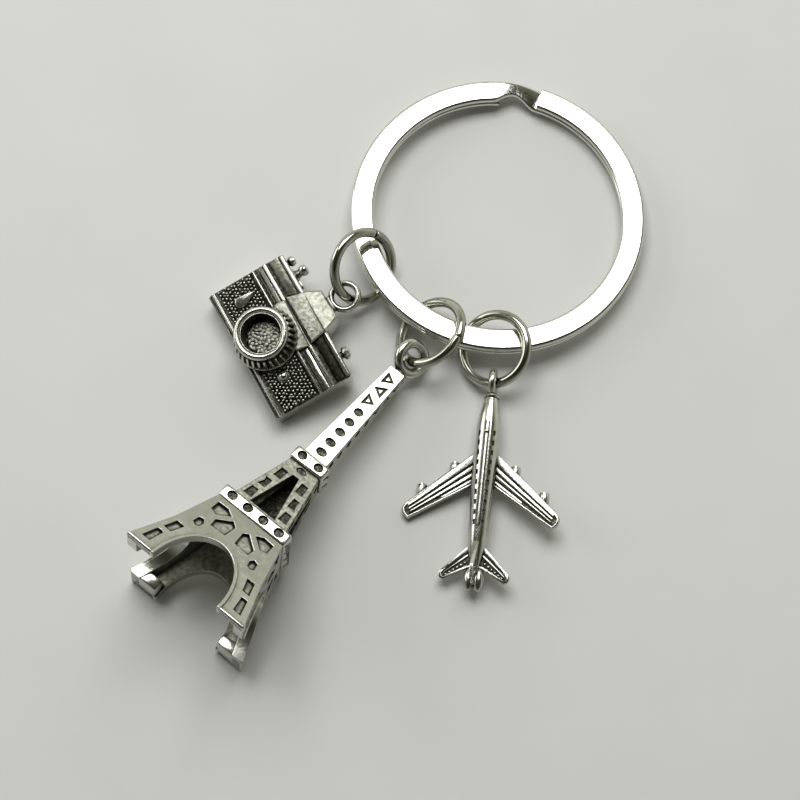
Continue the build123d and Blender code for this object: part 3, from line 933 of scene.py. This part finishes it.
def hull_r(y):
    for (y0, r0), (y1, r1) in zip(HULL, HULL[1:]):
        if y1 <= y <= y0:
            return r0 + (r1 - r0) * (y - y0) / (y1 - y0)
    return 0.5


def plane_hull():
    """The turned fuselage: sunk cabin windows, a spine, a nose collar and two tail lobes."""
    profile = [(0.0, HULL[0][0])] + [(r, y) for y, r in HULL] + [(0.3, -20.48), (0.0, -20.5)]
    bm = turned(profile, 48, Matrix.Rotation(-math.pi / 2, 4, "X"))
    cutter = bmesh.new()
    for number in range(WINDOWS):
        y = FIRST_WINDOW - WINDOW_PITCH * number
        for flank in (-1, 1):
            round_hull = math.radians(WINDOW_ANGLE - WINDOW_CLOSING * number)
            place = (Matrix.Translation((0, y, 0)) @ Matrix.Rotation(flank * round_hull, 4, "Y")
                     @ Matrix.Translation((0, 0, hull_r(y) + 0.1)))
            part = bmesh.new()
            block(part, (-0.13, -0.26, -0.26), (0.13, 0.26, 0.26), 0.05)
            join(cutter, part, BLACKED, place)
    bm = carved(bm, cutter)
    for half, rise, finish_index in ((0.24, 0.0, BLACKED), (0.12, 0.16, SILVER)):
        spine = prism([(-half, -4.2), (half, -4.2), (half, -14.6), (0.0, -15.0), (-half, -14.6)],
                      0.7, 1.22 + rise, 0.05)
        levels = [e for e in spine.edges if abs(e.verts[0].co.y - e.verts[1].co.y) > 5]
        bmesh.ops.subdivide_edges(spine, edges=levels, cuts=8, use_grid_fill=True)
        for vert in spine.verts:
            if vert.co.z > 1:
                vert.co.z += hull_r(vert.co.y) - 1.2
        join(bm, spine, finish_index)
    join(bm, turned([(0, -0.34), (0.17, -0.3), (0.24, -0.1), (0.2, 0.12), (0, 0.22)], 16,
                    Matrix.Translation((0, -5.3, 1.34))), SILVER)
    collar = [(0, -1.6), (0.74, -1.6), (0.8, -1.45), (0.74, -1.28), (0.56, -1.2), (0, -1.15)]
    join(bm, turned(collar, 32, Matrix.Rotation(-math.pi / 2, 4, "X")), SILVER)
    for side in (-1, 1):
        place = Matrix.Translation((side * LOBE[0], LOBE[1], LOBE[2]))
        place = place @ Matrix.Diagonal((*LOBE_SIZE, 1))
        bmesh.ops.create_uvsphere(bm, u_segments=24, v_segments=16, radius=1, matrix=place)
    return bm


def airfoil(bm, outline, ribs, lead, trail, low, ground, high, side):
    """A flat cast surface with a blackened ground, raised ribs along it and a closing tip."""
    mirror = Matrix.Diagonal((side, 1, 1, 1))
    plate = prism(outline, low, high)
    soften(plate, [e for e in plate.edges if max(v.co.x for v in e.verts) > 1], 0.12, 2)
    top = max(plate.faces, key=lambda f: f.calc_center_median().z)
    bmesh.ops.inset_region(plate, faces=[top], thickness=0.16)
    bmesh.ops.inset_region(plate, faces=[top], thickness=0.03, depth=ground - high)
    top.material_index = BLACKED
    join(bm, plate, None, mirror)
    for start, end, reach in ribs:
        part = prism(rib(lead, trail, start, end, reach), ground - 0.1, high)
        soften(part, [e for e in part.edges if min(v.co.z for v in e.verts) > high - 0.05], 0.07, 2)
        join(bm, part, SILVER, mirror)


def plane_wings():
    """Swept wings: a wide leading rib and three behind it, with black grooves between."""
    bm = bmesh.new()
    for side in (-1, 1):
        airfoil(bm, WING, WING_RIBS, LEAD, TRAIL, -0.72, -0.18, 0.04, side)
    return bm


def plane_engines():
    """Four small engine pods slung under the wings, their round intakes ahead of the edge."""
    bm = bmesh.new()
    profile = [(0.0, -0.66), (0.22, -0.62), (0.28, -0.34), (0.38, -0.28), (0.5, -0.4), (0.54, -0.8),
               (0.46, -1.6), (0.28, -2.3), (0.0, -2.5)]
    for side in (-1, 1):
        for x, y in ((3.0, -8.0), (6.05, -10.4)):
            place = Matrix.Translation((side * x, y, -0.55))
            join(bm, turned(profile, 24, place @ Matrix.Rotation(-math.pi / 2, 4, "X")), SILVER)
            block(bm, (side * x - 0.12, y - 1.4, -0.5), (side * x + 0.12, y - 0.25, -0.05), 0.05)
    return bm


def plane_tail():
    """Tailplanes with a slot and a row of beads behind it, and the upright fin."""
    bm = bmesh.new()
    for side in (-1, 1):
        airfoil(bm, TAILPLANE, TAIL_RIBS, TAIL_LEAD, TAIL_TRAIL, -0.3, 0.12, 0.3, side)
        for number in range(6):
            share = 0.12 + 0.15 * number
            at = between(between(TAIL_LEAD[0], TAIL_TRAIL[0], 0.73),
                         between(TAIL_LEAD[1], TAIL_TRAIL[1], 0.73), share)
            bmesh.ops.create_icosphere(bm, subdivisions=2, radius=0.16,
                                       matrix=Matrix.Translation((side * at[0], at[1], 0.16)))
    fin = prism([(-15.6, 0.4), (-18.9, 2.9), (-20.3, 2.9), (-19.0, 0.2)], -0.3, 0.3)
    for vert in fin.verts:
        vert.co.z *= 1 - 0.35 * (vert.co.y / 2.9)
    soften(fin, fin.edges, 0.1, 3)
    stand = Matrix(((0, 0, 1, 0), (1, 0, 0, 0), (0, 1, 0, 0), (0, 0, 0, 1)))
    fin.transform(stand)
    slot = bmesh.new()
    block(slot, (-0.07, -19.9, 2.6), (0.07, -19.1, 3.4), finish_index=BLACKED)
    fin = carved(fin, slot)
    join(bm, fin)
    return bm


def plane_eye():
    """The upright eye at the nose."""
    bm = bmesh.new()
    join(bm, hoop(1.12, 0.38, 56, 18), SILVER, Matrix.Rotation(math.pi / 2, 4, "Y"))
    return bm


PLANE = hanging(**CHARM_POSES["plane_charm"])
fit("plane_hull", plane_hull(), PLANE, "plane_charm", CHARM, crisp=30)
fit("plane_wings", plane_wings(), PLANE, "plane_charm", CHARM, 0.05)
fit("plane_engines", plane_engines(), PLANE, "plane_charm", CHARM, crisp=50)
fit("plane_tail", plane_tail(), PLANE, "plane_charm", CHARM, crisp=35)
fit("plane_eye", plane_eye(), PLANE, "plane_charm", CHARM, crisp=60)


# ---------------------------------------------------------------- table, light and camera

SOFTBOX_FAR, CAMERA_FAR, CAMERA_ABOVE, TABLE_HALF = 0.6, 0.2, 73.5, 1.5


def table():
    bm = bmesh.new()
    bmesh.ops.create_grid(bm, x_segments=2, y_segments=2, size=TABLE_HALF)
    made = to_object("table_top", bm, [painted_board()])


def softbox(name, direction, size, watts):
    """A rectangular white softbox aimed at the keychain."""
    light = bpy.data.lights.new(name, "AREA")
    light.shape, light.size, light.size_y = "RECTANGLE", size[0], size[1]
    light.energy = watts
    made = bpy.data.objects.new(name, light)
    ray = Vector(direction).normalized()
    made.location = ray * SOFTBOX_FAR
    made.rotation_euler = ray.to_track_quat("Z", "Y").to_euler()
    bpy.context.scene.collection.objects.link(made)


def room():
    """The room round the table: pale walls down at the table's level, a dim ceiling, and darker
    behind the viewer."""
    world = bpy.data.worlds.new("room")
    world.use_nodes = True
    tree = world.node_tree
    look = add(tree, "ShaderNodeTexCoord").outputs["Generated"]
    way = add(tree, "ShaderNodeSeparateXYZ", inputs={"Vector": look}).outputs
    shade = add(tree, "ShaderNodeValToRGB", None, {"Fac": way["Z"]}, [
        (0.0, "#EDEEE8"), (0.3, "#E2E3DA"), (0.5, "#BEBFB1"), (0.64, "#7E7F6E"), (0.78, "#3E3F30"),
        (0.95, "#565748")])
    fade = add(tree, "ShaderNodeMapRange", {"clamp": True}, {
        "Value": way["Y"], "From Min": -0.7, "From Max": 0.75, "To Min": 0.3, "To Max": 1.08})
    plug(tree, tree.nodes["Background"], {"Color": shade, "Strength": fade})
    bpy.context.scene.world = world


table()
room()
# the narrow bright window is what the key ring, decks and spire mirror; the other fills the left
softbox("window", (-0.03, 0.465, 0.887), (0.5, 0.32), 3.0)
softbox("side_window", (-0.85, 0.35, 0.4), (0.3, 0.3), 0.7)

scene = bpy.context.scene
scene.view_settings.view_transform = "Standard"
TILT = math.radians(90 - CAMERA_ABOVE)
camera_data = bpy.data.cameras.new("camera")
camera_data.lens, camera_data.sensor_width = 90, 36
camera = bpy.data.objects.new("camera", camera_data)
camera.location = SHIFT + Vector((0, -math.sin(TILT), math.cos(TILT))) * CAMERA_FAR
camera.rotation_euler = (TILT, 0, 0)
camera_data.clip_start = 0.005
scene.collection.objects.link(camera)
scene.camera = camera
